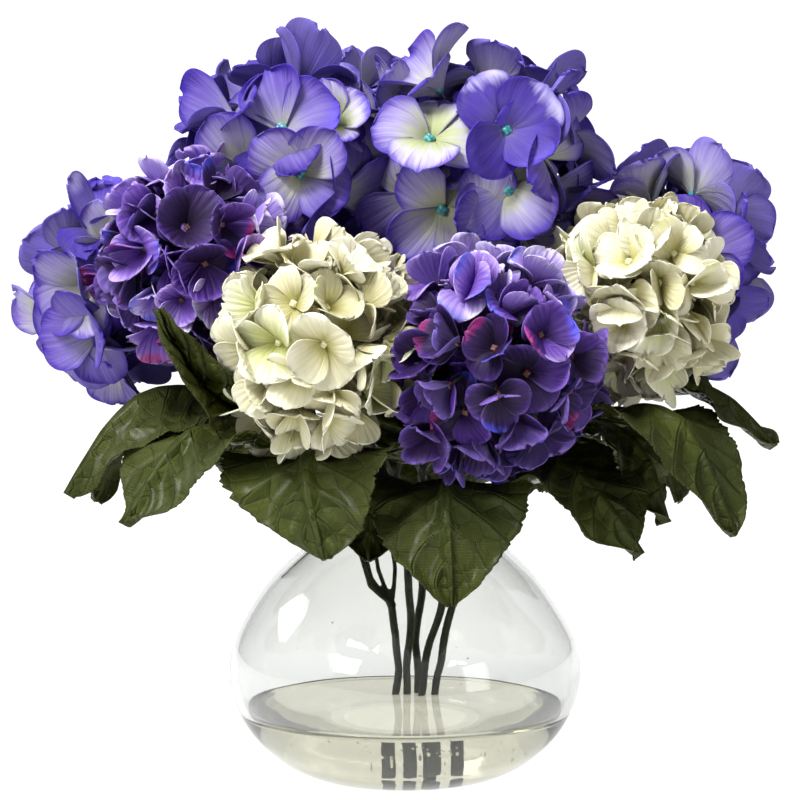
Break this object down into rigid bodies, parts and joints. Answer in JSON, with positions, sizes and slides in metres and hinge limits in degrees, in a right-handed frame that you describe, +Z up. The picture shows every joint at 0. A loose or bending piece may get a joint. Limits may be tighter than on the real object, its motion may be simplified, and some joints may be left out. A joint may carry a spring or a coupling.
{
  "type": "hydrangeas in a vase",
  "caption": "Mixed violet, purple and cream hydrangea bouquet of fabric florets and serrated leaves, standing in a round clear glass vase with clear resin as water.",
  "frame": {"origin": "centre of the vase's flat underside, on the vase's axis", "axes": "+Z up along the vase's axis, -Y towards the bouquet's front, +X to its right seen from the front"},
  "size_m": [0.3086, 0.2465, 0.2978],
  "materials": {
    "glass": "clear blown glass with a few small bubbles",
    "resin_water": "clear cast resin with a faint straw tint, flat and glossy on top",
    "stem": "moulded plastic over wire, dark green to nearly black, satin",
    "leaf": "woven fabric, coated, with pressed veins and a soft sheen",
    "petal_cream": "fine fabric, ivory with yellow-green towards the middle, pressed ribs",
    "petal_purple": "fine fabric, deep purple with paler lavender edges, pressed ribs",
    "petal_violet": "fine fabric, blue-violet at the edge fading to pale green-cream at the middle"
  },
  "bodies": {
    "root": {"vase": "glass", "water": "resin_water", "stem_left": "stem", "stem_middle": "stem", "stem_back": "stem", "stem_right": "stem", "stem_far_right": "stem", "leaf_front": "leaf", "leaf_front_left": "leaf", "leaf_front_right": "leaf", "leaf_small": "leaf", "leaf_left": "leaf", "leaf_left_upright": "leaf", "leaf_far_left": "leaf", "leaf_right_low": "leaf", "leaf_right": "leaf", "leaf_far_right": "leaf", "leaf_back_right": "leaf", "leaf_back_middle": "leaf", "leaf_back": "leaf", "leaf_back_left": "leaf", "leaf_side_left": "leaf", "leaf_inner_left": "leaf", "leaf_inner_right": "leaf", "leaf_inner_front": "leaf", "leaf_inner_back": "leaf", "leaf_inner_side": "leaf", "head_cream_left": "petal_cream", "head_cream_right": "petal_cream", "head_cream_back": "petal_cream", "head_cream_back_right": "petal_cream", "head_purple_left": "petal_purple", "head_purple_right": "petal_purple", "head_purple_back_left": "petal_purple", "head_violet_left": "petal_violet", "head_violet_right": "petal_violet", "head_violet_top_left": "petal_violet", "head_violet_top_right": "petal_violet", "head_violet_top_back": "petal_violet", "head_violet_back": "petal_violet"}
  },
  "joints": []
}
